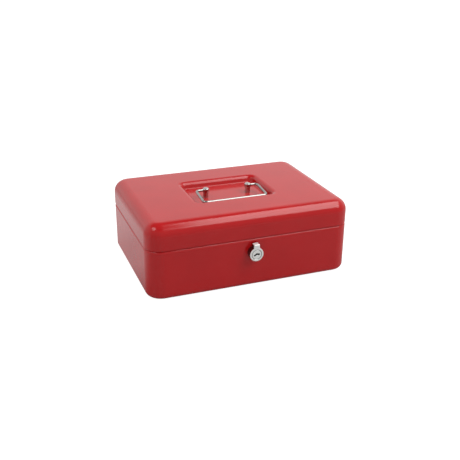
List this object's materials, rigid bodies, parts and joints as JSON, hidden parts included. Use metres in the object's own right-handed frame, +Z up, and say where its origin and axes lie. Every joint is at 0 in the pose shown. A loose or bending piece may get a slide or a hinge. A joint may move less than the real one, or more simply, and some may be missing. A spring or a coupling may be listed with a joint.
{
  "type": "cash box",
  "caption": "Steel cash box with a hinged lid, a recessed folding bail handle, a key lock with a swinging cam, and a lift-out coin tray.",
  "frame": {"origin": "centre of the box's underside, midway between the outer faces of its side walls and of its front and rear walls", "axes": "+X to the right seen from the lock side, +Y towards the hinges, +Z up out of the lid"},
  "size_m": [0.25, 0.1885, 0.0938],
  "materials": {
    "red_enamel": "glossy red powder coat over sheet steel",
    "chrome": "polished chrome plate",
    "zinc_steel": "bright zinc-plated steel",
    "brass": "plain stamped brass",
    "black_plastic": "matt black moulded polystyrene"
  },
  "bodies": {
    "base": {"base_shell": "red_enamel", "hinge_left_base_leaf": "zinc_steel", "hinge_left_pin": "zinc_steel", "hinge_right_base_leaf": "zinc_steel", "hinge_right_pin": "zinc_steel", "lock_housing": "chrome", "lock_nut": "zinc_steel", "tray_ledge_left": "red_enamel", "tray_ledge_right": "red_enamel"},
    "lid": {"lid_shell": "red_enamel", "hinge_left_lid_leaf": "zinc_steel", "hinge_right_lid_leaf": "zinc_steel", "handle_post_left": "chrome", "handle_post_right": "chrome", "handle_post_washers": "zinc_steel", "lid_catch": "zinc_steel"},
    "bail": {"handle_bail": "chrome"},
    "plug": {"lock_plug": "chrome", "lock_wafers": "brass", "lock_cam": "zinc_steel", "cam_washer": "zinc_steel", "cam_screw": "zinc_steel"},
    "tray": {"coin_tray": "black_plastic"}
  },
  "joints": [
    {"name": "lid_hinge", "type": "hinge", "parent": "base", "child": "lid", "pos_m": [0, 0.0872, 0.0634], "axis": [-1, 0, 0], "range_deg": [0, 105]},
    {"name": "bail_pivot", "type": "hinge", "parent": "lid", "child": "bail", "pos_m": [0, 0, 0.0913], "axis": [-1, 0, 0], "range_deg": [0, 198]},
    {"name": "lock_turn", "type": "hinge", "parent": "base", "child": "plug", "pos_m": [0, -0.098, 0.0432], "axis": [0, 1, 0], "range_deg": [0, 90]},
    {"name": "tray_lift", "type": "slide", "parent": "base", "child": "tray", "axis": [0, 0, 1], "range_m": [0, 0.0625]}
  ],
  "couplings": [
    {"joint": "tray_lift", "follows": "lid_hinge", "m_per_rad": 0.034}
  ]
}
